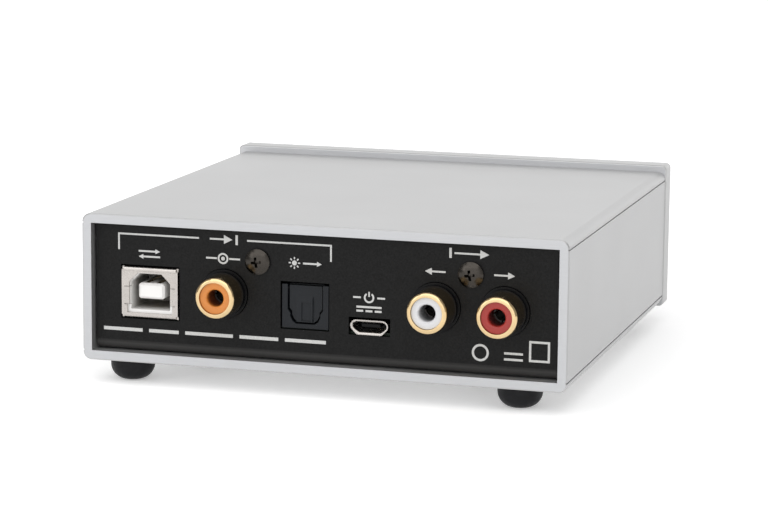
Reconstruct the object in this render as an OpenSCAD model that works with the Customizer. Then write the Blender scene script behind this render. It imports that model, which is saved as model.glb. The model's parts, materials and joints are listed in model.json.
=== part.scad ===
// Desktop digital-to-analogue converter in an extruded aluminium case.
// The front panel faces -Y and the sockets face +Y. The origin is under the middle of the
// whole object, on the surface that the feet stand on. Millimetres, +Z up.
// Inside in_case(), Y = 0 is the sleeve's open rear end and Z = 0 is its underside.

/* [Case] */
// Width of the sleeve
case_w = 101; // [101:0.5:106]
// Height of the sleeve
case_h = 30.2; // [30.2:0.1:34]
// Length of the sleeve, from its open rear end to the front panel
case_l = 97.1; // [97.1:0.1:106]
// Wall thickness of the sleeve
wall_t = 1.95; // [1.7:0.05:2]
// Radius of the sleeve's upper long edges
top_r = 1.9; // [1.2:0.1:2.4]
// Radius of the sleeve's lower long edges
bottom_r = 1.7; // [1.2:0.05:2.4]
// Width of the thin grooves along the sleeve's sides
groove_w = 0.3; // [0.2:0.05:0.5]
// Depth of the thin grooves along the sleeve's sides
groove_d = 0.3; // [0.1:0.05:0.5]

/* [Front panel] */
// Width of the front panel
front_w = 101.4; // [101.2:0.1:108]
// Thickness of the front panel
front_t = 5.5; // [5:0.1:7]
// Height that the front panel stands above the sleeve
front_rise = 1.4; // [0.2:0.1:2]
// Height that the front panel reaches below the sleeve
front_drop = 0.5; // [0:0.1:1.5]
// Corner radius of the front panel
front_r = 1; // [0.6:0.1:3]
// Radius of the input selector button
button_r = 3; // [2.5:0.1:3.5]
// Height that the button stands proud of the front panel
button_proud = 0.9; // [0.6:0.1:1.5]
// Travel of the button
button_travel = 0.3; // [0.2:0.05:0.4]
// Radius of the indicator light pipes
light_r = 1; // [0.8:0.1:1.3]

/* [Rear panel] */
// Depth of the rear panel inside the sleeve's end
panel_recess = 1.6; // [1.2:0.1:2]
// Thickness of the chassis sheet
sheet_t = 1; // [0.8:0.1:1.2]
// Gap between the rear panel and the sleeve on each side
panel_gap = 0.5; // [0.3:0.1:0.6]
// Height of the phono sockets' axes above the sleeve's underside
jack_z = 15.15; // [15:0.05:15.6]
// Distance of the coaxial socket from the middle
coaxial_x = 20.5; // [20:0.1:21]
// Distance between the two output sockets
output_pitch = 14; // [14:0.1:14.4]
// Distance of the pair of output sockets from the middle
output_x = -30.55; // [-31:0.05:-30]
// Length that the coaxial socket stands out of the rear panel
coaxial_reach = 6.2; // [6:0.1:7.5]
// Length that the output sockets stand out of the rear panel
output_reach = 7.4; // [6:0.1:8]
// Distance of the square computer socket from the middle
usb_x = 36.4; // [35.8:0.05:36.6]
// Distance of the optical socket from the middle
optical_x = 3.55; // [3.3:0.05:3.8]
// Distance of the power socket from the middle
power_x = -9.9; // [-10.5:0.1:-9.5]

/* [Feet] */
// Radius of a foot where it meets the case
foot_r = 4.55; // [4.4:0.05:6]
// Height of a foot
foot_h = 5; // [4.8:0.1:5.5]
// Half the distance between the feet of one pair
foot_x = 41; // [38:0.5:42]
// Sideways offset of all four feet from the case's middle
foot_shift = 1.7; // [0:0.1:2]
// Distance of a foot's middle from the sleeve's end
foot_inset = 8; // [7:0.5:12]

/* [Hidden] */
$fn = 64;

gap = 0.05;             // clearance between pieces that fit into each other
edge_c = 0.25;          // broken edges of the machined metal
front_y = -case_l - front_t;
jack_tip_y = output_reach - panel_recess;
back_y = (button_proud - front_y - jack_tip_y) / 2;
inner_w = case_w - 2 * wall_t;
inner_top = case_h - wall_t;
panel_w = inner_w - 2 * panel_gap;
panel_in_y = -panel_recess - sheet_t;

floor_z = wall_t + 0.1; // underside of the chassis floor
floor_top = floor_z + sheet_t;
bend_r = 2.2;           // outside radius of the sheet's bends
board_z = 9;            // upper face of the main board
board_t = 1.6;
board_w = 92;
board_back_y = panel_in_y - 0.3;
board_front_y = -91.5;
pin_end_z = board_z - board_t - 1;

usb_z = 9.05;           // underside of the square socket's shell
usb_front_y = 0.4 - panel_recess;
usb_w = 12.04;
usb_h = 10.45;
usb_depth = 16;
usb_slits = [2.75, 6.4];    // heights of the ends of the side springs
optical_w = 9.7;
optical_h = 8.85;
optical_front_y = -panel_recess - 0.3;
power_z = 10.15;
power_front_y = -panel_recess + 0.2;
screw_z = 22.05;
coaxial_screw_x = 13.45;
button_z = 15.1;
light_xs = [14, 20, 26];
front_screw_x = 40;
case_screw_x = 30;
case_screw_ys = [-20, -78];
standoff_x = 41;
standoff_ys = [-20, -86];
standoff_r = 2.5;

jack_r = 4.15;          // phono socket: radius of the metal shell
jack_root_r = 3.9;      // its radius inside the black housing
jack_bore_r = 3.2;
jack_back = -3.4;
jack_sink = 0.45;       // depth of the insulator's face inside the shell
jack_mouth = 4.9;       // length of the hole that the plug's pin enters
pin_bore_r = 1.7;
collar_rs = [4.95, 4.5];
collar_ys = [0.45, 1.5];

front_board_y = -94.2;  // front face of the upright board
front_board_t = 1.6;
switch_h = 3.5;
plunger_r = 1.75;
plunger_front_y = front_board_y - 5;
plunger_back_y = front_board_y - 2;
flange_r = 4;
web_y = front_y + 2.4;

brushed = "silver";
shadow = [0.13, 0.13, 0.13];
gold = [0.9, 0.72, 0.35];
nickel = [0.85, 0.82, 0.8];
board_black = [0.06, 0.09, 0.07];
part_black = [0.12, 0.12, 0.13];

// ---------------------------------------------------------------- helpers

// Places what is drawn in the case's own coordinates.
module in_case() {
    translate([0, back_y, foot_h]) children();
}

// A box between two opposite corners.
module block(low, high) {
    translate(low) cube(high - low);
}

// Extrudes an outline drawn in X and Z from y0 to y1.
module along_y(y0, y1) {
    translate([0, y1, 0]) rotate([90, 0, 0]) linear_extrude(y1 - y0) children();
}

// Extrudes an outline drawn in Y and Z from x0 to x1.
module along_x(x0, x1) {
    translate([x0, 0, 0]) rotate([90, 0, 90]) linear_extrude(x1 - x0) children();
}

// A round bar along Y, from y0 to y1.
module rod_y(r, y0, y1) {
    translate([0, y0, 0]) rotate([-90, 0, 0]) cylinder(r = r, h = y1 - y0);
}

// A cone along Y, of radius r0 at y0 and r1 at y1.
module cone_y(r0, r1, y0, y1) {
    translate([0, y0, 0]) rotate([-90, 0, 0]) cylinder(r1 = r0, r2 = r1, h = y1 - y0);
}

// Turns an outline of radius and depth about the Y axis.
module turned_y() {
    rotate([-90, 0, 0]) rotate_extrude() children();
}

// A rectangle standing on Z = 0 with its own radius at the top and the bottom corners.
module rounded_outline(w, h, rt, rb) {
    translate([-w / 2, rb]) square([w, h - rt - rb]);
    translate([rt - w / 2, h - rt]) square([w - 2 * rt, rt]);
    translate([rb - w / 2, 0]) square([w - 2 * rb, rb]);
    for (side = [-1, 1]) {
        translate([side * (w / 2 - rt), h - rt]) circle(rt);
        translate([side * (w / 2 - rb), rb]) circle(rb);
    }
}

// The right half of an outline, given from below, with its mirror image.
module both_sides(right) {
    left = [for (i = [len(right) - 1 : -1 : 0]) [-right[i][0], right[i][1]]];
    polygon(concat(right, left));
}

// The broken edge of a rounded bar: it shrinks by c on every side over a depth of c.
module broken_end(w, h, rt, rb, c) {
    along_x(rt - w / 2, w / 2 - rt) polygon([[0, h / 2], [0, h], [c, h - c], [c, h / 2]]);
    along_x(rb - w / 2, w / 2 - rb) polygon([[0, 0], [0, h / 2], [c, h / 2], [c, c]]);
    translate([0, 0, rb]) linear_extrude(h - rt - rb)
        polygon([[-w / 2, 0], [w / 2, 0], [w / 2 - c, c], [c - w / 2, c]]);
    for (side = [-1, 1]) {
        translate([side * (w / 2 - rt), 0, h - rt]) cone_y(rt, rt - c, 0, c);
        translate([side * (w / 2 - rb), 0, rb]) cone_y(rb, rb - c, 0, c);
    }
}

// A rounded bar from y0 to y1 with its edges broken by c0 and c1.
module rounded_bar(w, h, rt, rb, y0, y1, c0, c1) {
    along_y(y0 + c0, y1 - c1) rounded_outline(w, h, rt, rb);
    if (c1 > 0) {
        translate([0, y1 - c1, 0]) broken_end(w, h, rt, rb, c1);
    }
    if (c0 > 0) {
        translate([0, y0 + c0, 0]) mirror([0, 1, 0]) broken_end(w, h, rt, rb, c0);
    }
}

// A domed screw along Y, its head's seat at Y = 0 and its head towards +Y.
module pan_screw(head_r, head_h, shank_r, shank_l) {
    dome_r = head_r * 1.5;
    recess_r = head_r * 0.46;
    recess_d = head_h * 0.8;
    arm_w = recess_r * 0.46;
    difference() {
        turned_y() intersection() {
            translate([0, head_h - dome_r]) circle(dome_r);
            square([head_r, head_h]);
        }
        intersection() {
            cone_y(recess_r * 0.35, recess_r, head_h - recess_d, head_h + gap);
            union() {
                cube([2 * recess_r, 4 * head_h, arm_w], center = true);
                cube([arm_w, 4 * head_h, 2 * recess_r], center = true);
            }
        }
    }
    rod_y(shank_r, -shank_l, gap);
}

// ---------------------------------------------------------------- case

// Places each screw that holds the chassis to the sleeve's floor.
module at_case_screws() {
    for (x = [-case_screw_x, case_screw_x], y = case_screw_ys) {
        translate([x, y, 0]) children();
    }
}

module case_sleeve() color(brushed) in_case() difference() {
    rounded_bar(case_w, case_h, top_r, bottom_r, -case_l, 0, 0, edge_c);
    block([-inner_w / 2, -case_l - 1, wall_t], [inner_w / 2, 1, inner_top]);
    for (side = [-1, 1], z = [wall_t, inner_top]) {
        translate([side * case_w / 2, -case_l / 2, z])
            cube([2 * groove_d, case_l + 2, groove_w], center = true);
    }
    at_case_screws() {
        translate([0, 0, -1]) cylinder(r = 1.6, h = wall_t + 2);
        translate([0, 0, -gap]) cylinder(r1 = 3, r2 = 1.6, h = 1.4 + gap);
    }
}

module case_screws() color([0.3, 0.3, 0.32]) in_case() at_case_screws() difference() {
    union() {
        translate([0, 0, 0.05]) cylinder(r1 = 2.85, r2 = 1.5, h = 1.35);
        cylinder(r = 1.45, h = floor_top + 1.5);
    }
    translate([0, 0, -1]) cylinder(r = 1, h = 2, $fn = 6);
}

// Places each screw that holds the front panel to the chassis tabs.
module at_front_screws() {
    for (x = [-front_screw_x, front_screw_x]) {
        translate([x, sheet_t - case_l, button_z]) children();
    }
}

module front_panel() color(brushed) in_case() difference() {
    translate([0, 0, -front_drop])
        rounded_bar(front_w, case_h + front_rise + front_drop, front_r, front_r,
                    front_y, -case_l, 0.4, 0.2);
    translate([0, 0, button_z]) {
        rod_y(button_r + gap, front_y - 1, -case_l + 1);
        rod_y(flange_r + 0.3, web_y, -case_l + 1);
    }
    for (x = light_xs) {
        translate([x, 0, button_z]) rod_y(light_r + gap, front_y - 1, -case_l + 1);
    }
    at_front_screws() rod_y(1.5, -5.5, 0);
}

module front_panel_screws() color([0.3, 0.3, 0.32]) in_case()
    at_front_screws() translate([0, gap, 0]) pan_screw(2.7, 1.8, 1.45, 5);

module rubber_feet() color([0.1, 0.1, 0.1]) {
    round_r = 3.2;      // radius of the foot's lower edge
    for (x = [-foot_x, foot_x], y = [-foot_inset, foot_inset - case_l]) {
        translate([x + foot_shift, back_y + y, 0]) rotate_extrude() {
            intersection() {
                translate([foot_r - round_r, round_r]) circle(round_r);
                square([foot_r, round_r]);
            }
            square([foot_r - round_r, foot_h]);
            translate([0, round_r]) square([foot_r, foot_h - round_r]);
        }
    }
}

// Both sheet bends: a quarter ring about X, convex towards the case's end and floor.
module sheet_bend(x0, x1) {
    along_x(x0, x1) intersection() {
        difference() {
            circle(bend_r);
            circle(bend_r - sheet_t);
        }
        translate([0, -bend_r]) square(bend_r);
    }
}

// Places each standoff of the main board.
module at_standoffs() {
    for (x = [-standoff_x, standoff_x], y = standoff_ys) {
        translate([x, y, 0]) children();
    }
}

// Openings of the rear panel, drawn in X and Z.
module rear_cutouts() {
    hole_r = collar_rs[0] + 0.12;
    usb_gap = 0.28;
    usb_gap_top = 0.38;
    optical_gap = 0.25;
    optical_slot_h = 9.7;
    translate([usb_x - usb_w / 2 - usb_gap, usb_z - usb_gap])
        square([usb_w + 2 * usb_gap, usb_h + usb_gap + usb_gap_top]);
    translate([optical_x - optical_w / 2 - optical_gap, board_z - optical_gap])
        square([optical_w + 2 * optical_gap, optical_slot_h]);
    translate([power_x - 4.3, power_z - 1.65]) square([8.6, 3.6]);
    for (x = [coaxial_x, output_x - output_pitch / 2, output_x + output_pitch / 2]) {
        translate([x, jack_z]) circle(hole_r);
    }
    for (x = [coaxial_screw_x, output_x]) {
        translate([x, screw_z]) circle(1.6);
    }
}

module chassis() color(shadow) in_case() {
    tab_w = 10;
    tab_top = 21;
    floor_w = inner_w - 1.2;
    bend_z = floor_z + bend_r;
    rear_bend_y = -panel_recess - bend_r;
    front_bend_y = bend_r - case_l;
    difference() {
        union() {
            along_y(panel_in_y, -panel_recess) difference() {
                translate([-panel_w / 2, bend_z])
                    square([panel_w, inner_top - 0.2 - bend_z]);
                rear_cutouts();
            }
            translate([0, rear_bend_y, bend_z]) sheet_bend(-panel_w / 2, panel_w / 2);
            block([-floor_w / 2, front_bend_y, floor_z], [floor_w / 2, rear_bend_y, floor_top]);
            for (side = [-1, 1]) {
                translate([side * front_screw_x, 0, 0]) {
                    translate([0, front_bend_y, bend_z]) mirror([0, 1, 0])
                        sheet_bend(-tab_w / 2, tab_w / 2);
                    along_y(-case_l, sheet_t - case_l)
                        translate([0, bend_z]) rounded_outline(tab_w, tab_top - bend_z, 2, 0.01);
                }
            }
            at_case_screws() translate([0, 0, floor_z]) cylinder(r = 2.4, h = sheet_t + 1.4);
        }
        at_case_screws() cylinder(r = 1.5, h = board_z);
        at_standoffs() cylinder(r = 2, h = board_z);
        at_front_screws() rod_y(1.6, -sheet_t - 1, 1);
    }
}

// ---------------------------------------------------------------- main board

module main_board() color(board_black) in_case() difference() {
    block([-board_w / 2, board_front_y, board_z - board_t], [board_w / 2, board_back_y, board_z]);
    at_standoffs() cylinder(r = 1.6, h = board_z + 1);
    at_coaxial() jack_legs(0.12);
    at_left() jack_legs(0.12);
    at_right() jack_legs(0.12);
    at_usb() {
        usb_pegs(0.12);
        usb_contact_set(0.12);
    }
    at_optical() receiver_pins(0.12);
    at_power() power_pegs(0.12);
}

module board_standoffs() color(nickel) in_case() at_standoffs() difference() {
    union() {
        translate([0, 0, floor_top])
            cylinder(r = standoff_r, h = board_z - board_t - floor_top, $fn = 6);
        translate([0, 0, floor_z]) cylinder(r = 2 - gap / 2, h = 2);
    }
    translate([0, 0, floor_z + 0.5]) cylinder(r = 1.5, h = board_z);
}

module board_screws() color(nickel) in_case() at_standoffs()
    translate([0, 0, board_z]) rotate([90, 0, 0]) pan_screw(2.7, 1.7, 1.45, 4.5);

// ---------------------------------------------------------------- square computer socket

// The socket's own origin: the middle of its front face, on its shell's underside.
module at_usb() {
    translate([usb_x, usb_front_y, usb_z]) children();
}

// Outline of the plug's space: a square with its two upper corners cut off.
module usb_cavity() {
    both_sides([[4.2, 1.7], [4.2, 7.25], [2.35, 9.1]]);
}

// Opening of the shell's front face, wider below the side springs.
module usb_mouth() {
    both_sides([[4.85, 1.05], [4.85, usb_slits[0]], [4.4, usb_slits[0]], [4.4, 7.35],
                [2.5, 9.25]]);
}

// The two pegs that hold the shell in the board.
module usb_pegs(grow) {
    peg_t = 0.35;
    for (side = [-1, 1]) {
        translate([side * (usb_w - peg_t) / 2, -6.3, (pin_end_z - usb_z) / 2])
            cube([peg_t + 2 * grow, 2.2 + 2 * grow, usb_z - pin_end_z + 1], center = true);
    }
}

// Four strips along the tongue, each with a leg down through the board.
module usb_contact_set(grow) {
    tongue_z = 5.45;
    strip_w = 0.9;
    strip_t = 0.2;
    for (x = [-1.25, 1.25], up = [-1, 1]) {
        z = tongue_z + up * 1.5;
        leg_y = -13 - 0.8 * up;
        low_x = x - strip_w / 2 - grow;
        high_x = x + strip_w / 2 + grow;
        block([low_x, leg_y - 0.25, z - strip_t / 2 - grow],
              [high_x, -1.9 + grow, z + strip_t / 2 + grow]);
        block([low_x, leg_y - 0.25 - grow, pin_end_z - usb_z],
              [high_x, leg_y + 0.25 + grow, z + strip_t / 2 + grow]);
    }
}

module usb_b_shell() color(nickel) in_case() at_usb() {
    t = 0.35;
    face_t = 0.5;
    roll_r = 0.62;
    fold_z = usb_h - 0.85;
    fold_t = 0.14;
    corner = 0.42;
    difference() {
        along_x(-usb_w / 2, usb_w / 2) difference() {
            union() {
                translate([-usb_depth, 0]) square([usb_depth - roll_r, usb_h]);
                translate([-roll_r - gap, roll_r]) square([roll_r + gap, usb_h - 2 * roll_r]);
                for (z = [roll_r, usb_h - roll_r]) {
                    translate([-roll_r, z]) circle(roll_r);
                }
            }
            translate([t - usb_depth, t]) square([usb_depth - t - face_t, usb_h - 2 * t]);
        }
        along_y(-usb_depth / 2, 1) usb_mouth();
        block([-4, -usb_depth + t, -1], [4, -9, t + 1]);
        along_x(-usb_w, usb_w) translate([-0.12, fold_z]) square([1, fold_t]);
        for (side = [-1, 1]) {
            for (z = usb_slits) {
                translate([side * 4.9, 0, z]) cube([1.1, 4 * face_t, fold_t], center = true);
            }
            for (z = [0, usb_h]) {
                translate([side * usb_w / 2, 0, z])
                    cube([2 * corner, 2 * roll_r, 2 * roll_r], center = true);
            }
        }
    }
    for (side = [-1, 1]) {
        block([side * (usb_w / 2 - t / 2) - t / 2, -usb_depth, t / 2],
              [side * (usb_w / 2 - t / 2) + t / 2, -face_t, usb_h - t / 2]);
    }
    usb_pegs(0);
}

// A bar along Y from y0 to y1, from -x to x, with every edge cut off by c at its front end.
module chamfered_tongue(x, z0, z1, y0, y1, c) {
    intersection() {
        along_y(y0, y1) polygon([[c - x, z0], [x - c, z0], [x, z0 + c], [x, z1 - c],
                                 [x - c, z1], [c - x, z1], [-x, z1 - c], [-x, z0 + c]]);
        along_x(-x, x) polygon([[y0, z0], [y1 - c, z0], [y1, z0 + c], [y1, z1 - c],
                                [y1 - c, z1], [y0, z1]]);
        translate([0, 0, z0]) linear_extrude(z1 - z0)
            polygon([[-x, y0], [x, y0], [x, y1 - c], [x - c, y1], [c - x, y1], [-x, y1 - c]]);
    }
}

module usb_b_insulator() color("white") in_case() at_usb() {
    half = usb_w / 2 - 0.4;
    low = 0.4;
    high = usb_h - 0.4;
    cavity_y = -10.5;
    tongue_z = 5.45;
    slit_h = 0.16;
    difference() {
        union() {
            difference() {
                block([-half, 0.4 - usb_depth, low], [half, -0.55, high]);
                along_y(cavity_y, 0) usb_cavity();
                for (side = [-1, 1], z = usb_slits) {
                    translate([side * 4.7, -0.5, z]) cube([1.5, 1.4, slit_h], center = true);
                }
            }
            chamfered_tongue(2.8, tongue_z - 1.6, tongue_z + 1.6, cavity_y - 1, -0.9, 0.45);
        }
        usb_contact_set(gap);
        block([-3.9, -usb_depth, -1], [3.9, -14.6, high - 2]);
    }
}

module usb_b_contacts() color(gold) in_case() at_usb() usb_contact_set(0);

// ---------------------------------------------------------------- phono sockets

// A socket's own origin: its axis where it crosses the rear panel's outer face.
module at_coaxial() {
    translate([coaxial_x, -panel_recess, jack_z]) children();
}

module at_left() {
    translate([output_x + output_pitch / 2, -panel_recess, jack_z]) children();
}

module at_right() {
    translate([output_x - output_pitch / 2, -panel_recess, jack_z]) children();
}

// The two round legs of one socket: the shell's and the centre contact's.
module jack_legs(grow) {
    leg_r = 0.5;
    leg_h = jack_z - pin_end_z;
    translate([0, jack_back + 0.8, -leg_h]) cylinder(r = leg_r + grow, h = leg_h - 3.6, $fn = 32);
    translate([0, -8, -leg_h]) cylinder(r = leg_r + grow, h = leg_h, $fn = 32);
}

module jack_shell(reach) {
    lip_r = 0.75;
    lip_y = reach - lip_r;
    turned_y() {
        translate([jack_bore_r, jack_back])
            square([jack_root_r - jack_bore_r, collar_ys[1] + gap - jack_back]);
        translate([jack_bore_r, collar_ys[1]])
            square([jack_r - jack_bore_r, lip_y - collar_ys[1]]);
        translate([jack_bore_r, lip_y - gap]) square([jack_r - lip_r - jack_bore_r, lip_r + gap]);
        intersection() {
            translate([jack_r - lip_r, lip_y]) circle(lip_r);
            translate([jack_bore_r, lip_y]) square(lip_r * 2);
        }
    }
    intersection() {
        jack_legs(0);
        block([-1, jack_back, -jack_z], [1, -1, -3.5]);
    }
}

module jack_insulator(reach) {
    face = reach - jack_sink;
    difference() {
        rod_y(jack_bore_r - gap / 2, -5, face);
        rod_y(pin_bore_r, face - jack_mouth - gap, face + 1);
        cone_y(pin_bore_r, pin_bore_r + 0.3, face - 0.3, face + gap);
        rod_y(2, -4.6, face - jack_mouth);
        rod_y(1, -6, 0);
    }
}

module jack_contact(reach) {
    front = reach - jack_sink - jack_mouth - 0.1;
    slot_w = 0.35;
    difference() {
        rod_y(1.95, -4.5, front);
        rod_y(1.5, -3.9, front + 1);
        for (turn = [0, 90]) {
            rotate([0, turn, 0]) block([-3, front - 4.5, -slot_w / 2], [3, front + 1, slot_w / 2]);
        }
    }
    rod_y(0.9, -8.5, -4.4);
    intersection() {
        jack_legs(0);
        block([-1, -9, -jack_z], [1, -7, 1]);
    }
}

// Collars of a socket, in front of its housing.
module jack_collars() {
    rod_y(collar_rs[0], -sheet_t - gap, collar_ys[0]);
    rod_y(collar_rs[1], 0, collar_ys[1]);
}

// Everything that a housing leaves open for one socket.
module jack_space() {
    rod_y(jack_root_r + gap, jack_back - gap, collar_ys[1] + 1);
    rod_y(jack_bore_r, -5 - gap, 0);
    rod_y(1, -8.6, -4);
    jack_legs(0.12);
    block([-0.65, jack_back + 0.15, -jack_z], [0.65, jack_back + 1.45, -3.5]);
}

module coaxial_housing() color(part_black) in_case() at_coaxial() difference() {
    side = 6;
    screw_x = coaxial_screw_x - coaxial_x;
    low = board_z - jack_z;
    union() {
        block([-side, -9.6, low], [side, -sheet_t, side]);
        block([screw_x - 3.4, -9.6, low], [gap - side, -sheet_t, 9.8]);
        block([-side, -9.6, side - gap], [screw_x + 3.4, -sheet_t, 9.8]);
        jack_collars();
    }
    jack_space();
    translate([screw_x, 0, screw_z - jack_z]) rod_y(1.45, -9, 0);
}

module output_housing() color(part_black) in_case() difference() {
    side = 6;
    block_x = output_pitch / 2 + side;
    union() {
        translate([output_x, -panel_recess, jack_z]) {
            block([-block_x, -9.6, board_z - jack_z], [block_x, -sheet_t, side]);
            block([-4, -9.6, side - gap], [4, -sheet_t, 9.8]);
        }
        at_left() jack_collars();
        at_right() jack_collars();
    }
    at_left() jack_space();
    at_right() jack_space();
    translate([output_x, -panel_recess, screw_z]) rod_y(1.45, -9, 0);
}

module coaxial_shell() color(gold) in_case() at_coaxial() jack_shell(coaxial_reach);
module coaxial_insulator() color([0.95, 0.5, 0.15]) in_case() at_coaxial() jack_insulator(coaxial_reach);
module coaxial_contact() color(gold) in_case() at_coaxial() jack_contact(coaxial_reach);
module left_shell() color(gold) in_case() at_left() jack_shell(output_reach);
module left_insulator() color([0.93, 0.93, 0.94]) in_case() at_left() jack_insulator(output_reach);
module left_contact() color(gold) in_case() at_left() jack_contact(output_reach);
module right_shell() color(gold) in_case() at_right() jack_shell(output_reach);
module right_insulator() color([0.8, 0.2, 0.2]) in_case() at_right() jack_insulator(output_reach);
module right_contact() color(gold) in_case() at_right() jack_contact(output_reach);

module rear_screws() color([0.2, 0.19, 0.18]) in_case() {
    for (x = [coaxial_screw_x, output_x]) {
        translate([x, gap - panel_recess, screw_z]) rotate([0, 8, 0]) pan_screw(2.6, 1.4, 1.4, 8);
    }
}

// ---------------------------------------------------------------- optical socket

shutter_z = 7.85;       // hinge axis above the socket's underside
shutter_y = -1.75;      // hinge axis behind the socket's front face
shutter_pin_r = 0.35;

// The socket's own origin: the middle of its front face, on its underside.
module at_optical() {
    translate([optical_x, optical_front_y, board_z]) children();
}

// Places what is drawn along the shutter's hinge axis, from -x to +x.
module at_hinge(x) {
    translate([-x, shutter_y, shutter_z]) rotate([0, 90, 0]) children();
}

// Outline of the plug's space: wide above, stepped in and cut off below, open at the top.
module optical_mouth(grow) {
    wide = 3.7 + grow;
    narrow = 3.15 + grow;
    foot = 1.95 + grow;
    low = 0.9 - grow;
    step = 3.75 - grow;
    both_sides([[foot, low], [foot + 0.75, low + 0.55], [narrow, low + 1.5], [narrow, step - 0.7],
                [wide, step], [wide, optical_h + 1]]);
}

module optical_housing() color(part_black) in_case() at_optical() difference() {
    half = optical_w / 2;
    depth = 11.6;
    block([-half, -depth, 0], [half, 0, optical_h]);
    along_y(-1.6, 1) optical_mouth(0);
    block([-3.85, -9, 1], [3.85, -1.5, optical_h - 0.3]);
    block([-3.3, -depth - 1, 1], [3.3, -8.9, optical_h - 1.5]);
    at_hinge(optical_w) cylinder(r = shutter_pin_r + gap, h = 2 * optical_w, $fn = 32);
    receiver_pins(0.12);
}

module optical_shutter() color([0.2, 0.21, 0.23]) in_case() at_optical() {
    leaf_front = -0.45;
    leaf_back = -1.05;
    leaf_top = optical_h - 0.2;
    barrel_r = 0.62;
    barrel_half = 2.4;
    rib_x = [-1.5, 1.9];
    rib_z = [1.3, 6.8];
    rib_d = 0.35;
    slope = 0.85;       // height of the rib's sloping upper end
    pocket_d = 0.22;
    difference() {
        union() {
            intersection() {
                along_y(leaf_back, leaf_front) optical_mouth(-0.28);
                block([-4, leaf_back, 0], [4, leaf_front, leaf_top]);
            }
            along_x(rib_x[0], rib_x[1])
                polygon([[leaf_front - gap, rib_z[0]], [leaf_front + rib_d, rib_z[0]],
                         [leaf_front + rib_d, rib_z[1] - slope], [leaf_front - gap, rib_z[1]]]);
            at_hinge(barrel_half) cylinder(r = barrel_r, h = 2 * barrel_half, $fn = 32);
            block([-barrel_half, shutter_y, shutter_z - 0.55],
                  [barrel_half, leaf_front - 0.1, shutter_z + 0.2]);
        }
        block([rib_x[0] + 0.3, leaf_front + rib_d - pocket_d, rib_z[0] + 0.2],
              [rib_x[1] - 1.1, leaf_front + 1, rib_z[1] - slope - 0.7]);
        at_hinge(optical_w) cylinder(r = shutter_pin_r + gap, h = 2 * optical_w, $fn = 32);
        block([barrel_half, leaf_back - gap, shutter_z - 0.9],
              [4, leaf_back + 0.25, optical_h]);
    }
}

module shutter_pin() color(nickel) in_case() at_optical() at_hinge(optical_w / 2 - 0.1)
    cylinder(r = shutter_pin_r, h = optical_w - 0.2, $fn = 32);

// A coiled spring on the pin, drawn as closed turns with one leg along the socket's ceiling.
module shutter_spring() color(nickel) in_case() at_optical() {
    wire_r = 0.08;
    turns = 5;
    turn_r = shutter_pin_r + 0.06 + wire_r;
    translate([2.55, shutter_y, shutter_z]) {
        for (i = [0 : turns - 1]) {
            translate([(1 + 1.9 * i) * wire_r, 0, 0]) rotate([0, 90, 0])
                rotate_extrude($fn = 32) translate([turn_r, 0]) circle(wire_r, $fn = 16);
        }
        translate([wire_r, 0, turn_r]) rotate([90, 0, 0]) cylinder(r = wire_r, h = 3.5, $fn = 16);
    }
}

// The three legs of the optical receiver.
module receiver_pins(grow) {
    for (x = [-2.54, 0, 2.54]) {
        block([x - 0.25 - grow, -11.2 - grow, pin_end_z - board_z],
              [x + 0.25 + grow, -10.7 + grow, 1.2]);
    }
}

module optical_receiver() color([0.25, 0.2, 0.28]) in_case() at_optical() {
    block([-3.1, -11.5, 1.1], [3.1, -9.3, optical_h - 1.6]);
    translate([0, 0, 5]) rod_y(1.4, -9.4, -9.2);
    receiver_pins(0);
}

// ---------------------------------------------------------------- power socket

power_depth = 5.6;
power_half_w = 3.65;
power_half_h = 1.1;

// The socket's own origin: the middle of its front opening.
module at_power() {
    translate([power_x, power_front_y, power_z]) children();
}

// Outline of the socket: rounded above, and drawn in below.
module power_outline(w, h) {
    r = 0.8 * h;
    steps = 6;
    both_sides(concat([[0.62 * w, -h], [0.7 * w, -0.9 * h], [0.97 * w, -0.15 * h]],
                      [for (i = [0 : steps])
                          [w - r + r * cos(90 * i / steps), h - r + r * sin(90 * i / steps)]]));
}

// The two pegs below the socket, which hold it in the board.
module power_pegs(grow) {
    top = 0.1 - power_half_h;
    bottom = pin_end_z - power_z;
    for (side = [-1, 1]) {
        translate([2 * side, -4, (top + bottom) / 2])
            cube([0.3 + 2 * grow, 1.4 + 2 * grow, top - bottom], center = true);
    }
}

// The socket's mouth, which widens over its last stretch.
module power_flare(w, h, flare_w, flare_h) {
    flare_d = 0.7;
    skin = 0.01;
    along_y(-power_depth - skin, -flare_d) power_outline(w, h);
    hull() {
        along_y(-flare_d - skin, -flare_d) power_outline(w, h);
        along_y(-skin, 0) power_outline(flare_w, flare_h);
    }
}

module micro_usb_shell() color(nickel) in_case() at_power() {
    t = 0.22;
    flare_w = 3.9;
    flare_h = 1.5;
    difference() {
        power_flare(power_half_w, power_half_h, flare_w, flare_h);
        translate([0, gap, 0])
            power_flare(power_half_w - t, power_half_h - t, flare_w - t, flare_h - t);
        along_y(-power_depth - 1, -power_depth + 1) power_outline(power_half_w - t, power_half_h - t);
    }
    power_pegs(0);
}

// Five contact strips under the tongue, each with a lead down to the board.
module power_contact_set(grow) {
    pitch = 0.65;
    strip_w = 0.3;
    for (i = [-2 : 2]) {
        x0 = i * pitch - strip_w / 2 - grow;
        x1 = i * pitch + strip_w / 2 + grow;
        block([x0, -power_depth - 0.4, -0.1 - grow], [x1, -1.6 + grow, 0.02 + grow]);
        block([x0, -power_depth - 0.4, board_z - power_z], [x1, -power_depth - 0.25, 0.02 + grow]);
    }
}

module micro_usb_insulator() color(part_black) in_case() at_power() difference() {
    union() {
        along_y(-power_depth, -4.2)
            power_outline(power_half_w - 0.27, power_half_h - 0.27);
        block([-1.9, -4.3, -0.1], [1.9, -1.3, 0.5]);
    }
    power_contact_set(0.03);
}

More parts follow.
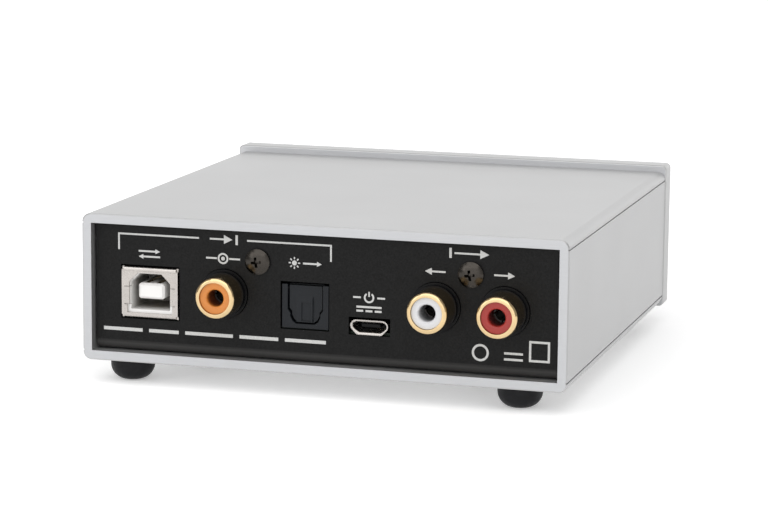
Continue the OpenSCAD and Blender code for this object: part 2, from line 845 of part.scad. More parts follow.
module micro_usb_contacts() color(gold) in_case() at_power() power_contact_set(0);

// ---------------------------------------------------------------- front controls

module select_button() color(brushed) in_case() translate([0, 0, button_z]) {
    rod_y(button_r, front_y - button_proud + 0.3, plunger_front_y);
    cone_y(button_r - 0.3, button_r, front_y - button_proud, front_y - button_proud + 0.3);
    rod_y(flange_r, web_y + gap, plunger_front_y);
}

module switch_plunger() color(part_black) in_case() translate([0, 0, button_z])
    rod_y(plunger_r, plunger_front_y, plunger_back_y);

module switch_body() color(part_black) in_case() translate([0, 0, button_z]) difference() {
    block([-3, front_board_y - switch_h, -3], [3, front_board_y, 3]);
    rod_y(plunger_r + gap, front_board_y - switch_h - 1, plunger_back_y + button_travel + 0.2);
}

module front_board() color(board_black) in_case() difference() {
    block([-12, front_board_y, board_z + 1], [32, front_board_y + front_board_t, 26]);
    for (x = [-8 : 2.54 : 8]) {
        translate([x, 0, board_z + 2.6]) rod_y(0.5, front_board_y - 1, front_board_y + 3);
    }
}

// A header with bent pins that joins the upright board to the main board.
module board_link() color(part_black) in_case() {
    pin_r = 0.35;
    block([-10, board_front_y + 0.5, board_z], [10, board_front_y + 3, board_z + 4]);
    for (x = [-8 : 2.54 : 8]) {
        translate([x, 0, board_z + 2.6]) rod_y(pin_r, front_board_y - 0.6, board_front_y + 1);
    }
}

module indicator_leds() color([0.85, 0.85, 0.75]) in_case() {
    for (x = light_xs) {
        block([x - 0.8, front_board_y - 0.7, button_z - 0.6], [x + 0.8, front_board_y, button_z + 0.6]);
    }
}

module light_pipes() color([0.85, 0.9, 0.95]) in_case() {
    for (x = light_xs) {
        translate([x, 0, button_z]) {
            rod_y(light_r, front_y - 0.05, -case_l);
            rod_y(light_r + 0.6, -case_l, front_board_y - 1);
        }
    }
}

// ---------------------------------------------------------------- electronics

// A chip on the main board with rows of leads along its two long sides.
module two_row_chip(x, y, l, w, h, leads) {
    pitch = (l - 0.6) / leads;
    translate([x, y, board_z]) {
        block([-l / 2, -w / 2, 0.1], [l / 2, w / 2, h]);
        for (i = [0 : leads - 1], side = [-1, 1]) {
            translate([(i - (leads - 1) / 2) * pitch, side * (w / 2 + 0.45), 0.2])
                cube([pitch * 0.45, 1, 0.4], center = true);
        }
    }
}

module dac_chip() color(part_black) in_case() two_row_chip(-14, -42, 10.2, 5.3, 1.9, 14);
module receiver_chip() color(part_black) in_case() two_row_chip(8, -30, 9.7, 4.4, 1.1, 14);
module output_amplifier() color(part_black) in_case() two_row_chip(-30, -26, 4.9, 3.9, 1.6, 4);

module usb_chip() color(part_black) in_case() {
    two_row_chip(34, -34, 7, 7, 1.2, 12);
    translate([34, -34, 0]) rotate([0, 0, 90]) two_row_chip(0, 0, 7, 7, 1.2, 12);
}

module voltage_regulator() color(part_black) in_case() translate([-10, -19, board_z]) {
    block([-3.25, -1.75, 0.1], [3.25, 1.75, 1.7]);
    block([-1.5, 1.7, 0], [1.5, 3.4, 0.4]);
    for (x = [-2.3, 0, 2.3]) {
        block([x - 0.35, -3.4, 0], [x + 0.35, -1.7, 0.4]);
    }
}

module power_inductor() color([0.25, 0.25, 0.27]) in_case() translate([-2, -22, board_z]) {
    block([-3, -3, 0], [3, 3, 0.8]);
    cylinder(r = 2.6, h = 2.6);
    translate([0, 0, 2.4]) cylinder(r = 3, h = 0.7);
}

module coaxial_transformer() color(part_black) in_case() translate([22, -19, board_z]) {
    block([-3.4, -3, 0], [3.4, 3, 1]);
    block([-2.6, -2.4, 0.9], [2.6, 2.4, 5]);
}

module clock_crystals() color(nickel) in_case() {
    for (place = [[24, -42], [-2, -50]]) {
        translate([place[0], place[1], board_z]) {
            block([-3, -2.3, 0], [3, 2.3, 3.2]);
            for (side = [-1, 1]) {
                translate([side * 3, 0, 0]) cylinder(r = 2.3, h = 3.2);
            }
        }
    }
}

// Upright cans, given as place and radius.
can_places = [[-38, -40, 4], [-38, -52, 4], [-28, -40, 3.15], [-28, -52, 3.15],
              [-20, -60, 3.15], [8, -44, 3.15], [38, -50, 4], [38, -62, 4], [12, -64, 3.15]];

module electrolytic_capacitors() color([0.2, 0.22, 0.3]) in_case() {
    for (place = can_places) {
        translate([place[0], place[1], board_z]) difference() {
            cylinder(r = place[2], h = 11);
            translate([0, 0, 10.6]) cylinder(r = place[2] - 0.6, h = 1);
        }
    }
}

// Small parts in rows: count, first place and spacing.
module chip_row(count, x, y, step, size) {
    for (i = [0 : count - 1]) {
        translate([x + i * step, y, board_z])
            block([-size / 2, -size / 4, 0], [size / 2, size / 4, size / 2]);
    }
}

module chip_capacitors() color([0.65, 0.5, 0.35]) in_case() {
    chip_row(6, -24, -34, 4, 2);
    chip_row(4, 14, -52, 4, 2);
    chip_row(3, 26, -24, 4, 2);
}

module chip_resistors() color(part_black) in_case() {
    chip_row(6, -24, -70, 4, 1.6);
    chip_row(5, 4, -37, 3.2, 1.6);
    chip_row(5, 14, -76, 4, 1.6);
}

// ---------------------------------------------------------------- nodes

case_sleeve();
front_panel();
chassis();
case_screws();
front_panel_screws();
rubber_feet();
main_board();
board_standoffs();
board_screws();
usb_b_shell();
usb_b_insulator();
usb_b_contacts();
coaxial_housing();
coaxial_shell();
coaxial_insulator();
coaxial_contact();
output_housing();
left_shell();
left_insulator();
left_contact();
right_shell();
right_insulator();
right_contact();
rear_screws();
optical_housing();
optical_shutter();
shutter_pin();
shutter_spring();
optical_receiver();
micro_usb_shell();
micro_usb_insulator();
micro_usb_contacts();
select_button();
switch_plunger();
switch_body();
front_board();
board_link();
indicator_leds();
light_pipes();
dac_chip();
usb_chip();
receiver_chip();
output_amplifier();
voltage_regulator();
power_inductor();
coaxial_transformer();
clock_crystals();
electrolytic_capacitors();
chip_capacitors();
chip_resistors();
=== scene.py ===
"""The looks of a small desktop audio converter, seen from its rear, built around its CAD frame."""
import json
import math

import bmesh
import bpy
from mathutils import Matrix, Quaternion, Vector

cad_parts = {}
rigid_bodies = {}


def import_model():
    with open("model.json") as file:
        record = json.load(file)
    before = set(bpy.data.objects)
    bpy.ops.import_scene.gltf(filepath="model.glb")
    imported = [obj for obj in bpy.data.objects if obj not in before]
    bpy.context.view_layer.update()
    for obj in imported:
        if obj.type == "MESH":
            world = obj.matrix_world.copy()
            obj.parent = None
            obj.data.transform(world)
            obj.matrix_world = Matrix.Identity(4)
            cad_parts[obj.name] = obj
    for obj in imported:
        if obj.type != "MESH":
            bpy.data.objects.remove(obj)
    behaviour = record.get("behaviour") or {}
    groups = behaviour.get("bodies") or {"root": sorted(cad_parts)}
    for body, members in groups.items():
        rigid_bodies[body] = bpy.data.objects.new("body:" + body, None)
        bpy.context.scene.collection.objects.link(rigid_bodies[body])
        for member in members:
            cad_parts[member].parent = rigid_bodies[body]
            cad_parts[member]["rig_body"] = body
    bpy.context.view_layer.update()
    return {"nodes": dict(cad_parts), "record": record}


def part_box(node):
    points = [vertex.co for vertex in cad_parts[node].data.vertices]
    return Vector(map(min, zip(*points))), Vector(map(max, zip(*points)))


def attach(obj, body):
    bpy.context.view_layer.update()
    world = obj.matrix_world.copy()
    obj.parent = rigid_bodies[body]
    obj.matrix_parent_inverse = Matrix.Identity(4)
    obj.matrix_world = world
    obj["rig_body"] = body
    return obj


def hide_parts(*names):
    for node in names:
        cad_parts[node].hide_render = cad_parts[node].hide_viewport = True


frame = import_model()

MM = 0.001


def middle(node):
    """The middle of a CAD node's box."""
    low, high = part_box(node)
    return (low + high) / 2


# ------------------------------------------------------------------ camera, light and floor

CAMERA_TARGET = Vector((-13.26, 48.85, 29.92)) * MM
CAMERA_AZIMUTH = math.radians(196.314)
CAMERA_ELEVATION = math.radians(9.975)
CAMERA_ROLL = math.radians(0.528)
CAMERA_DISTANCE = 560.2 * MM
CAMERA_LENS = 133.75


def add_camera():
    """The camera looks at the rear panel from a little above, and from the outputs' side."""
    back = Vector((math.sin(CAMERA_AZIMUTH) * math.cos(CAMERA_ELEVATION),
                   -math.cos(CAMERA_AZIMUTH) * math.cos(CAMERA_ELEVATION),
                   math.sin(CAMERA_ELEVATION)))
    data = bpy.data.cameras.new("camera")
    data.lens = CAMERA_LENS
    data.sensor_width = 36
    data.clip_start = 0.01
    data.clip_end = 20
    camera = bpy.data.objects.new("camera", data)
    bpy.context.scene.collection.objects.link(camera)
    camera.location = CAMERA_TARGET + back * CAMERA_DISTANCE
    camera.rotation_mode = "QUATERNION"
    camera.rotation_quaternion = Quaternion(back, CAMERA_ROLL) @ back.to_track_quat("Z", "Y")
    bpy.context.scene.camera = camera


def add_area_light(name, place, target, size, watts, spread=180):
    """A rectangular soft light that shines from place towards target, within a spread in degrees."""
    data = bpy.data.lights.new(name, "AREA")
    data.shape = "RECTANGLE"
    data.size, data.size_y = size
    data.energy = watts
    data.spread = math.radians(spread)
    light = bpy.data.objects.new(name, data)
    bpy.context.scene.collection.objects.link(light)
    light.location = place
    light.rotation_euler = (Vector(place) - Vector(target)).to_track_quat("Z", "Y").to_euler()


def add_floor():
    """A wide pale floor under the feet, lit from below a little as a light table is."""
    half = 3.0             # half its side, in metres
    mesh = bpy.data.meshes.new("floor")
    mesh.from_pydata([(-half, -half, 0), (half, -half, 0), (half, half, 0), (-half, half, 0)],
                     [], [(0, 1, 2, 3)])
    floor = bpy.data.objects.new("floor", mesh)
    bpy.context.scene.collection.objects.link(floor)
    look = Look("floor_paper", (0.93, 0.93, 0.93), 0.8,
                more={"Specular IOR Level": 0.1, "Emission Color": (1, 1, 1, 1),
                      "Emission Strength": 0.33})
    look.vary_colour(look.noise(40 * MM), 0.98, 1.0)
    mesh.materials.append(look.material)


# strength of the studio's white backdrops, and of its dim sides and ceiling
BACKDROP = 1.47
DIM = 0.32
# how far along Y a direction points where the backdrops begin and where they are full
BACKDROP_SIDES = (0.35, 0.85)
# how far up a direction points where the backdrops end and where they are full
BACKDROP_TOP = (0.7, 0.4)


def add_world():
    """A studio with white backdrops before and behind the object, and dim sides and ceiling."""
    world = bpy.data.worlds.new("studio")
    world.use_nodes = True
    tree = world.node_tree
    where = tree.nodes.new("ShaderNodeTexCoord")
    split = tree.nodes.new("ShaderNodeSeparateXYZ")
    tree.links.new(where.outputs["Generated"], split.inputs[0])
    distance = tree.nodes.new("ShaderNodeMath")
    distance.operation = "ABSOLUTE"
    tree.links.new(split.outputs["Y"], distance.inputs[0])
    strength = tree.nodes.new("ShaderNodeMath")
    strength.operation = "MULTIPLY_ADD"
    grades = []
    for source, (start, end) in ((distance.outputs[0], BACKDROP_SIDES),
                                 (split.outputs["Z"], BACKDROP_TOP)):
        grade = tree.nodes.new("ShaderNodeMapRange")
        grade.interpolation_type = "SMOOTHSTEP"
        grade.inputs["From Min"].default_value = start
        grade.inputs["From Max"].default_value = end
        tree.links.new(source, grade.inputs["Value"])
        grades.append(grade.outputs["Result"])
    both = tree.nodes.new("ShaderNodeMath")
    both.operation = "MULTIPLY"
    for i in range(2):
        tree.links.new(grades[i], both.inputs[i])
    tree.links.new(both.outputs[0], strength.inputs[0])
    strength.inputs[1].default_value = BACKDROP - DIM
    strength.inputs[2].default_value = DIM
    background = tree.nodes["Background"]
    background.inputs["Color"].default_value = (1, 1, 1, 1)
    tree.links.new(strength.outputs[0], background.inputs["Strength"])
    bpy.context.scene.world = world


# ------------------------------------------------------------------ materials

class Look:
    """A procedural material. Sizes are in metres, measured in the frame's own coordinates."""

    def __init__(self, name, colour, roughness, metallic=0.0, more=None):
        self.material = bpy.data.materials.new(name)
        self.material.use_nodes = True
        self.tree = self.material.node_tree
        self.shader = self.tree.nodes["Principled BSDF"]
        self.colour = colour
        self.shader.inputs["Base Color"].default_value = (*colour, 1)
        self.shader.inputs["Roughness"].default_value = roughness
        self.shader.inputs["Metallic"].default_value = metallic
        for key, value in (more or {}).items():
            self.shader.inputs[key].default_value = value
        self.where = self.tree.nodes.new("ShaderNodeTexCoord").outputs["Object"]

    def node(self, kind, **settings):
        """Adds a node and sets its properties."""
        made = self.tree.nodes.new("ShaderNode" + kind)
        for key, value in settings.items():
            setattr(made, key, value)
        return made

    def feed(self, source, target):
        """Joins a socket, or gives a plain value, to an input."""
        if isinstance(source, bpy.types.NodeSocket):
            self.tree.links.new(source, target)
        else:
            target.default_value = source

    def combine(self, operation, a, b=0.0):
        """One step of arithmetic on two sockets or numbers."""
        made = self.node("Math", operation=operation)
        self.feed(a, made.inputs[0])
        self.feed(b, made.inputs[1])
        return made.outputs[0]

    def remap(self, source, low, high, start=0.0, end=1.0):
        """Takes start..end to low..high, and holds it there outside."""
        made = self.node("MapRange")
        self.feed(source, made.inputs["Value"])
        made.inputs["From Min"].default_value = start
        made.inputs["From Max"].default_value = end
        made.inputs["To Min"].default_value = low
        made.inputs["To Max"].default_value = high
        return made.outputs["Result"]

    def stretched(self, sizes):
        """Coordinates in which a feature of the given sizes along X, Y and Z is one unit."""
        made = self.node("Mapping")
        self.feed(self.where, made.inputs["Vector"])
        made.inputs["Scale"].default_value = [1 / size for size in sizes]
        return made.outputs["Vector"]

    def noise(self, size, detail=2.0):
        """Noise from 0 to 1 with features of about that size, or of those sizes along X, Y, Z."""
        made = self.node("TexNoise")
        sizes = size if isinstance(size, tuple) else (size, size, size)
        self.feed(self.stretched(sizes), made.inputs["Vector"])
        made.inputs["Scale"].default_value = 1
        made.inputs["Detail"].default_value = detail
        return made.outputs["Fac"]

    def facing(self, axis):
        """How far the surface faces along X, Y or Z of the frame."""
        made = self.node("SeparateXYZ")
        self.feed(self.node("NewGeometry").outputs["Normal"], made.inputs[0])
        return made.outputs[axis]

    def place(self, axis):
        """The place along X, Y or Z of the frame."""
        made = self.node("SeparateXYZ")
        self.feed(self.where, made.inputs[0])
        return made.outputs[axis]

    def blend_colour(self, factor, a, b):
        """Colour a where factor is 0, and colour b where it is 1."""
        made = self.node("Mix", data_type="RGBA")
        self.feed(factor, made.inputs["Factor"])
        self.feed(a if isinstance(a, bpy.types.NodeSocket) else (*a, 1), made.inputs[6])
        self.feed(b if isinstance(b, bpy.types.NodeSocket) else (*b, 1), made.inputs[7])
        return made.outputs[2]

    def vary_colour(self, factor, low, high):
        """Scales the base colour between two brightnesses as factor goes from 0.3 to 0.7."""
        dark = [c * low for c in self.colour]
        light = [min(1, c * high) for c in self.colour]
        mixed = self.blend_colour(self.remap(factor, 0, 1, 0.3, 0.7), dark, light)
        self.feed(mixed, self.shader.inputs["Base Color"])

    def vary_roughness(self, factor, low, high):
        """Takes the roughness from low to high as factor goes from 0.3 to 0.7."""
        mapped = self.remap(factor, low, high, 0.3, 0.7)
        self.feed(mapped, self.shader.inputs["Roughness"])

    def bump(self, height, depth):
        """Raises the surface by depth where height is 1."""
        made = self.node("Bump")
        made.inputs["Distance"].default_value = depth
        self.feed(height, made.inputs["Height"])
        self.feed(made.outputs["Normal"], self.shader.inputs["Normal"])


def moulded(name, colour, roughness, grain=0.12 * MM, gloss=0.5):
    """A moulded plastic or rubber: fine grain and faint mottling."""
    look = Look(name, colour, roughness, more={"Specular IOR Level": gloss})
    look.vary_colour(look.noise(6 * MM), 0.9, 1.06)
    look.vary_roughness(look.noise(0.8 * MM), roughness * 0.85, roughness * 1.12)
    look.bump(look.noise(grain), 0.004 * MM)
    return look.material


def painted_shade_plastic(name, node, colour, shade_colour, depth):
    """Smooth plastic with painted shade: its colour darkens towards the depth of the hole at its
    node's rear.
    """
    look = Look(name, colour, 0.38)
    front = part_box(node)[1].y
    # painted shade: the colour goes to the darker one towards the depth of the hole, standing in for
    # the shade that falls there
    painted_shade = look.remap(look.place("Y"), 1, 0, front - depth, front - 0.15 * depth)
    patchy_shade = look.combine("MULTIPLY", painted_shade, look.remap(look.noise(1.5 * MM), 0.8, 1, 0.3, 0.7))
    mixed = look.blend_colour(patchy_shade, colour, shade_colour)
    look.feed(mixed, look.shader.inputs["Base Color"])
    look.vary_roughness(look.noise(0.8 * MM), 0.33, 0.46)
    look.bump(look.noise(0.12 * MM), 0.004 * MM)
    return look.material


def plated(name, colour, roughness):
    """A bright plated metal with faint polishing marks and slightly uneven tone."""
    look = Look(name, colour, roughness, 1.0)
    look.vary_colour(look.noise(2.5 * MM), 0.93, 1.03)
    look.vary_roughness(look.noise(0.6 * MM), roughness * 0.75, roughness * 1.35)
    look.bump(look.noise(0.15 * MM), 0.0004 * MM)
    return look.material


def anodised_aluminium():
    """Bead-blasted, clear anodised aluminium. The cut ends are brighter, with fine tool marks."""
    look = Look("anodised_aluminium", (0.55, 0.555, 0.56), 0.4, 0.7)
    grain = look.noise(0.22 * MM, 3)
    cloud = look.noise(25 * MM)
    cut = look.remap(look.combine("ABSOLUTE", look.facing("Y")), 0, 1, 0.9, 0.99)
    tool_marks = look.noise((4 * MM, 1 * MM, 0.1 * MM))
    shade = look.combine("ADD", look.combine("MULTIPLY", grain, 0.7),
                         look.combine("MULTIPLY", cloud, 0.3))
    skin = look.blend_colour(look.remap(shade, 0, 1, 0.3, 0.7), (0.435, 0.435, 0.437),
                             (0.495, 0.495, 0.497))
    bare = look.blend_colour(look.remap(tool_marks, 0, 1, 0.3, 0.7), (0.485, 0.49, 0.503),
                             (0.51, 0.515, 0.528))
    look.feed(look.blend_colour(cut, skin, bare), look.shader.inputs["Base Color"])
    mix = look.node("Mix")
    look.feed(cut, mix.inputs["Factor"])
    look.feed(look.remap(grain, 0.36, 0.46, 0.3, 0.7), mix.inputs["A"])
    look.feed(look.remap(tool_marks, 0.33, 0.38, 0.3, 0.7), mix.inputs["B"])
    look.feed(mix.outputs["Result"], look.shader.inputs["Roughness"])
    look.bump(grain, 0.006 * MM)
    return look.material


def powder_coat():
    """A black coat with a fine texture, painted paler where the sheet bends to face down: a painted
    reflection of the pale surfaces below it.
    """
    look = Look("black_powder_coat", (0.006, 0.006, 0.006), 0.45,
                more={"Specular IOR Level": 0.17})
    grain = look.noise(0.3 * MM, 3)
    flat = look.blend_colour(look.remap(grain, 0, 1, 0.3, 0.7), (0.0015, 0.0015, 0.0015),
                             (0.007, 0.007, 0.007))
    # painted reflection: the colour is made paler where the surface turns to face down at the bend
    bend = look.remap(look.facing("Z"), 1, 0, -0.3, 0)
    look.feed(look.blend_colour(bend, flat, (0.041, 0.04, 0.039)),
              look.shader.inputs["Base Color"])
    look.vary_roughness(look.noise(1.5 * MM), 0.4, 0.52)
    look.bump(grain, 0.03 * MM)
    return look.material


def circuit_board():
    """Black lacquer over copper tracks."""
    look = Look("board_laminate", (0.01, 0.014, 0.011), 0.35, more={"Specular IOR Level": 0.2})
    tracks = look.node("TexBrick")
    look.feed(look.stretched((9 * MM, 9 * MM, 9 * MM)), tracks.inputs["Vector"])
    tracks.inputs["Scale"].default_value = 1
    tracks.inputs["Mortar Size"].default_value = 0.05
    tracks.inputs["Mortar Smooth"].default_value = 0.3
    tracks.inputs["Brick Width"].default_value = 1.6
    tracks.inputs["Row Height"].default_value = 0.3
    copper = look.blend_colour(tracks.outputs["Fac"], (0.008, 0.012, 0.009), (0.02, 0.03, 0.022))
    look.feed(copper, look.shader.inputs["Base Color"])
    look.vary_roughness(look.noise(0.5 * MM), 0.28, 0.42)
    look.bump(tracks.outputs["Fac"], 0.02 * MM)
    return look.material


def printed_ink():
    """Screen-printed off-white ink."""
    look = Look("printed_ink", (0.50, 0.50, 0.49), 0.5)
    look.vary_colour(look.noise(0.25 * MM, 3), 0.85, 1.08)
    look.bump(look.noise(0.15 * MM), 0.005 * MM)
    return look.material


def clear_rod(name, colour):
    """Clear cast plastic with a faint haze."""
    look = Look(name, colour, 0.12, more={"Transmission Weight": 0.7, "IOR": 1.49})
    look.vary_roughness(look.noise(0.5 * MM), 0.08, 0.2)
    look.bump(look.noise(0.4 * MM), 0.002 * MM)
    return look.material


def node_materials():
    """One material for each of the record's slots."""
    return {
        "anodised_aluminium": anodised_aluminium(),
        "button_aluminium": plated("button_aluminium", (0.56, 0.56, 0.57), 0.32),
        "black_powder_coat": powder_coat(),
        "blackened_steel": plated("blackened_steel", (0.058, 0.052, 0.046), 0.24),
        "nickel_plate": plated("nickel_plate", (0.515, 0.485, 0.458), 0.24),
        "gold_plate": plated("gold_plate", (0.75, 0.56, 0.31), 0.13),
        "tin_plate": plated("tin_plate", (0.16, 0.15, 0.14), 0.4),
        # the socket plastics below get painted shade towards the depth of their holes
        "usb_white_plastic": painted_shade_plastic("usb_white_plastic", "usb_b_insulator", (0.76, 0.75, 0.735),
                                   (0.2, 0.188, 0.167), 5 * MM),
        "orange_plastic": painted_shade_plastic("orange_plastic", "coaxial_insulator", (0.58, 0.205, 0.037),
                                (0.11, 0.022, 0.006), 1.6 * MM),
        "white_plastic": painted_shade_plastic("white_plastic", "left_insulator", (0.6, 0.6, 0.612),
                               (0.16, 0.16, 0.165), 2.4 * MM),
        "red_plastic": painted_shade_plastic("red_plastic", "right_insulator", (0.31, 0.024, 0.018),
                             (0.07, 0.012, 0.012), 2 * MM),
        "black_plastic": moulded("black_plastic", (0.003, 0.003, 0.0035), 0.38, gloss=0.17),
        "shutter_plastic": moulded("shutter_plastic", (0.006, 0.0075, 0.01), 0.4, gloss=0.26),
        "receiver_plastic": moulded("receiver_plastic", (0.05, 0.02, 0.04), 0.2),
        "foot_rubber": moulded("foot_rubber", (0.0045, 0.0045, 0.006), 0.5, 0.3 * MM, gloss=0.22),
        "board_laminate": circuit_board(),
        "chip_epoxy": moulded("chip_epoxy", (0.03, 0.03, 0.032), 0.55),
        "ferrite": moulded("ferrite", (0.07, 0.07, 0.075), 0.6, 0.3 * MM),
        "capacitor_sleeve": moulded("capacitor_sleeve", (0.03, 0.05, 0.14), 0.25),
        "capacitor_ceramic": moulded("capacitor_ceramic", (0.42, 0.27, 0.15), 0.5),
        "led_resin": moulded("led_resin", (0.85, 0.84, 0.66), 0.25),
        "clear_acrylic": clear_rod("clear_acrylic", (0.92, 0.95, 0.97)),
    }


SLOTS = {row["node"]: row["material_slot"] for row in frame["record"]["subparts"]}


def dress_nodes():
    """Gives every CAD node the material of its slot in the record."""
    materials = node_materials()
    for node, slot in SLOTS.items():
        mesh = frame["nodes"][node].data
        mesh.materials.clear()
        mesh.materials.append(materials[slot])


# ------------------------------------------------------------------ rounded edges

ROUND_ABOVE = math.radians(32)    # an edge that turns by more than this is sharp
SAME_PLACE = 0.0005 * MM
SAME_PLANE = math.radians(0.6)


def soften(node, width):
    """Stands in for a CAD node with the same shape, smoothly shaded, and with a small radius of the
    given width along its sharp edges, or none."""
    source = frame["nodes"][node]
    mesh = source.data.copy()
    shape = bmesh.new()
    shape.from_mesh(mesh)
    bmesh.ops.remove_doubles(shape, verts=shape.verts, dist=SAME_PLACE)
    bmesh.ops.dissolve_limit(shape, angle_limit=SAME_PLANE, verts=shape.verts, edges=shape.edges)
    for face in shape.faces:
        face.smooth = True
    shape.to_mesh(mesh)
    shape.free()
    piece = bpy.data.objects.new(node + "_softened", mesh)
    bpy.context.scene.collection.objects.link(piece)
    if width > 0:
        rounding = piece.modifiers.new("rounding", "BEVEL")
        rounding.width = width
        rounding.segments = 2
        rounding.limit_method = "ANGLE"
        rounding.angle_limit = ROUND_ABOVE
        rounding.use_clamp_overlap = True
    else:
        mesh.set_sharp_from_angle(angle=ROUND_ABOVE)
    flat = piece.modifiers.new("flat_faces", "WEIGHTED_NORMAL")
    flat.mode = "FACE_AREA"
    flat.weight = 90
    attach(piece, source["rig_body"])
    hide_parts(node)


# radius of each visible node's edges, in mm
EDGE_RADII = {
    "case_sleeve": 0.12, "front_panel": 0.15, "coaxial_housing": 0.1, "output_housing": 0.1,
    "coaxial_shell": 0.06, "left_shell": 0.06, "right_shell": 0.06,
    "coaxial_insulator": 0.08, "left_insulator": 0.08, "right_insulator": 0.08,
    "usb_b_insulator": 0.1, "optical_housing": 0.08, "optical_shutter": 0.06,
    "rubber_feet": 0.3, "select_button": 0.1, "micro_usb_shell": 0,
}


def soften_visible_nodes():
    """Gives the nodes that can be seen their edge radii."""
    for node, radius in EDGE_RADII.items():
        soften(node, radius * MM)


# ------------------------------------------------------------------ printed marks

INK_DEPTH = 0.03 * MM
LINE = 0.36                       # width of a printed line, in mm
BOLD = 0.45                       # width of a bold one
BEND_RADIUS = 2.2 * MM            # outer radius of the rear panel's bend, below the print
panel_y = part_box("chassis")[1].y


class Print:
    """Flat shapes on the rear panel. Drawing runs right and up as seen from the rear, in mm."""

    def __init__(self, name, x, z):
        self.name = name
        self.x = x
        self.z = z
        self.patches = []          # each is its points, and faces as lists of point numbers

    def outline(self, points):
        """A filled shape with one outline."""
        self.patches.append((points, [range(len(points))]))

    def stroke(self, points, width=LINE, closed=False):
        """A line of even width through the points, with mitred turns."""
        points = [Vector(point) for point in points]
        count = len(points)
        # one unit vector across each stretch of the line
        sides = [(points[(i + 1) % count] - points[i]).normalized().orthogonal()
                 for i in range(count if closed else count - 1)]
        edges = []
        for i, point in enumerate(points):
            before = sides[i - 1] if closed or i > 0 else sides[0]
            after = sides[min(i, len(sides) - 1)]
            mitre = (before + after) / (1 + before.dot(after)) * width / 2
            edges += [point - mitre, point + mitre]
        faces = [(2 * i, 2 * i + 1, (2 * i + 3) % (2 * count), (2 * i + 2) % (2 * count))
                 for i in range(len(sides))]
        self.patches.append((edges, faces))

    def bar(self, start, end, width=LINE):
        """A straight stroke."""
        self.stroke([start, end], width)

    def arc(self, radius, width=LINE, start=0, end=360, steps=32):
        """A ring, or a part of one, about the print's own point."""
        whole = end - start == 360
        turns = [math.radians(start + (end - start) * i / steps)
                 for i in range(steps if whole else steps + 1)]
        self.stroke([(radius * math.cos(turn), radius * math.sin(turn)) for turn in turns],
                    width, closed=whole)

    def disc(self, centre, radius, steps=24):
        """A filled circle."""
        self.outline([(centre[0] + radius * math.cos(math.tau * i / steps),
                       centre[1] + radius * math.sin(math.tau * i / steps))
                      for i in range(steps)])

    def arrow(self, start, end, head=1.0):
        """A stroke with a solid head at its end."""
        tail, tip = Vector(start), Vector(end)
        along = (tip - tail).normalized()
        side = along.orthogonal() * LINE / 2
        barb = along.orthogonal() * head / 2
        neck = tip - along * head
        self.outline([tail - side, neck - side, neck - barb, tip,
                      neck + barb, neck + side, tail + side])

    def frame(self, width, height, line=LINE):
        """A rectangle's outline about the print's own point."""
        u, v = (width - line) / 2, (height - line) / 2
        self.stroke([(-u, -v), (u, -v), (u, v), (-u, v)], line, closed=True)

    def finish(self, material):
        """Makes the piece, a thin layer of ink on the panel."""
        mesh = bpy.data.meshes.new(self.name)
        shape = bmesh.new()
        for points, faces in self.patches:
            corners = [shape.verts.new((self.x - u * MM, panel_y - INK_DEPTH / 3, self.z + v * MM))
                       for u, v in points]
            for face in faces:
                shape.faces.new([corners[i] for i in face])
        layer = bmesh.ops.extrude_face_region(shape, geom=list(shape.faces), use_keep_orig=True)
        raised = [part for part in layer["geom"] if isinstance(part, bmesh.types.BMVert)]
        bmesh.ops.translate(shape, verts=raised, vec=(0, INK_DEPTH * 4 / 3, 0))
        bmesh.ops.recalc_face_normals(shape, faces=shape.faces)
        shape.to_mesh(mesh)
        shape.free()
        mesh.materials.append(material)
        piece = bpy.data.objects.new(self.name, mesh)
        bpy.context.scene.collection.objects.link(piece)
        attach(piece, "case")


def print_input_marks(ink, header_z, label_z):
    """A bracket over the three inputs, and a sign for each of them."""
    usb_x = middle("usb_b_shell").x
    coaxial_x = middle("coaxial_shell").x
    optical_x = middle("optical_housing").x

    bracket = Print("input_bracket", coaxial_x, header_z)
    leg = 3.25
    left_end = (coaxial_x - usb_x) / MM - 6.7
    right_end = (coaxial_x - optical_x) / MM + 5.4
    for end, inner in ((left_end, -5.4), (right_end, 4.8)):
        bracket.stroke([(end, -leg), (end, 0), (inner, 0)])
    bracket.finish(ink)

    header = Print("input_mark", coaxial_x, header_z)
    header.arrow((-3.1, 0), (1.7, 0), 1.8)
    header.bar((2.6, -1), (2.6, 1), 0.5)
    header.finish(ink)

    data = Print("data_mark", usb_x + 0.15 * MM, label_z)
    data.arrow((-2.3, 0.55), (2.3, 0.55))
    data.arrow((2.3, -0.55), (-2.3, -0.55))
    data.finish(ink)

    coaxial = Print("coaxial_mark", coaxial_x + 0.3 * MM, label_z)
    coaxial.arc(0.95)
    coaxial.disc((0, 0), 0.4)
    for side in (-1, 1):
        coaxial.bar((side * 1.3, 0), (side * 3.6, 0))
    coaxial.finish(ink)

    optical = Print("optical_mark", optical_x - 0.1 * MM, label_z)
    sun = Vector((-2.3, 0))
    optical.disc(sun, 0.5)
    for i in range(8):
        turn = math.tau * i / 8
        ray = Vector((math.cos(turn), math.sin(turn)))
        optical.bar(sun + ray * 0.75, sun + ray * 1.2, 0.26)
    optical.arrow((-0.5, 0), (3.4, 0))
    optical.finish(ink)


def print_output_marks(ink, header_z, label_z):
    """A sign over the two outputs, and one for each of them."""
    header = Print("output_mark", middle("output_housing").x + 0.3 * MM, header_z)
    header.bar((-3.9, -1), (-3.9, 1), 0.5)
    header.arrow((-3.1, 0), (3.9, 0), 1.8)
    header.finish(ink)
    for name, way in (("left", -1), ("right", 1)):
        mark = Print(name + "_mark", middle(name + "_shell").x + 0.25 * MM, label_z)
        mark.arrow((-way * 2.1, 0), (way * 2.1, 0), 1.4)
        mark.finish(ink)


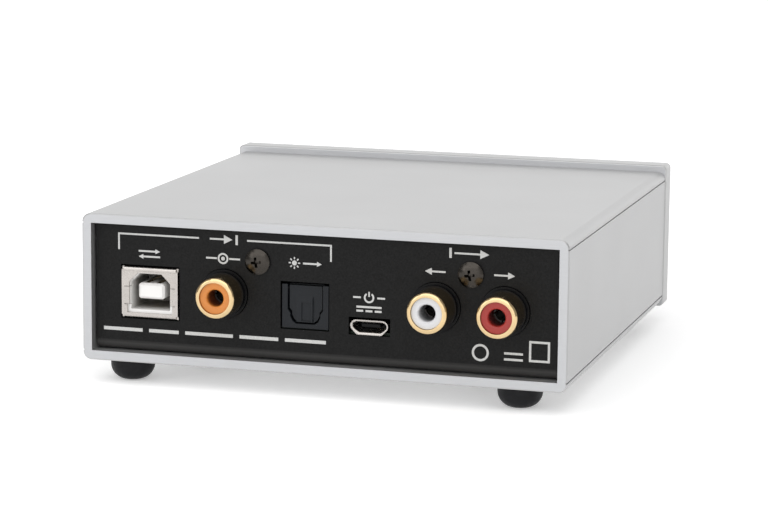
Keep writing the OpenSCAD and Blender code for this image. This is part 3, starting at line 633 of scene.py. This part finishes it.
def print_power_marks(ink):
    """The signs for mains power and for direct current, over the power socket."""
    power_x = middle("micro_usb_shell").x + 0.1 * MM
    power_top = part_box("micro_usb_shell")[1].z
    supply = Print("power_mark", power_x, power_top + 4.5 * MM)
    supply.arc(0.9, start=125, end=415)
    supply.bar((0, 0.2), (0, 1.2), 0.32)
    for side in (-1, 1):
        supply.bar((side * 1.7, 0), (side * 3.3, 0))
    supply.finish(ink)
    direct = Print("direct_current_mark", power_x, power_top + 2.2 * MM)
    direct.bar((-2.6, 0.4), (2.6, 0.4), 0.4)
    for i in (-1, 0, 1):
        direct.bar((i * 1.9 - 0.7, -0.4), (i * 1.9 + 0.7, -0.4), 0.4)
    direct.finish(ink)


def print_blank_marks(ink):
    """Plain bars and outlines where the maker's line and the approval signs would be."""
    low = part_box("chassis")[0].z + BEND_RADIUS
    strip = Print("blank_text_line", middle("usb_b_shell").x + 10.1 * MM, low + 2.25 * MM)
    gap = 1.4
    place = 0.0
    for length in (8.4, 6.4, 10.2, 8.2, 8.6):
        strip.bar((place, 0), (place + length, 0), 0.7)
        place += length + gap
    strip.finish(ink)
    right_x = middle("right_shell").x
    disc = Print("blank_circle", right_x + 4.9 * MM, low + 2.4 * MM)
    disc.arc(1.5, BOLD)
    disc.finish(ink)
    bars = Print("blank_bars", right_x - 1.8 * MM, low + 2 * MM)
    for height in (-0.6, 0.6):
        bars.bar((-1.9, height), (1.9, height), BOLD)
    bars.finish(ink)
    square = Print("blank_square", right_x - 7 * MM, low + 3.3 * MM)
    square.frame(4.2, 4.2, BOLD)
    square.finish(ink)


def print_marks():
    """Plain signs by the sockets, in two rows at the panel's top and along its foot."""
    ink = printed_ink()
    header_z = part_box("chassis")[1].z - 1.9 * MM
    label_z = header_z - 3.9 * MM
    print_input_marks(ink, header_z, label_z)
    print_output_marks(ink, header_z, label_z)
    print_power_marks(ink)
    print_blank_marks(ink)


# ------------------------------------------------------------------ the whole scene

add_camera()
add_world()
add_floor()
add_area_light("overhead", (0, 0.55, 0.95), (0, 0.05, 0), (1.4, 1.1), 7.5)
add_area_light("far_overhead", (0, -1.6, 1.3), (0, -1.6, 0), (3.2, 1.8), 8, spread=90)
add_area_light("side_box", (0.9, 0.7, 0.6), (0, 0.05, 0.02), (0.5, 0.6), 1.5)
bpy.context.scene.view_settings.view_transform = "Standard"
dress_nodes()
soften_visible_nodes()
print_marks()
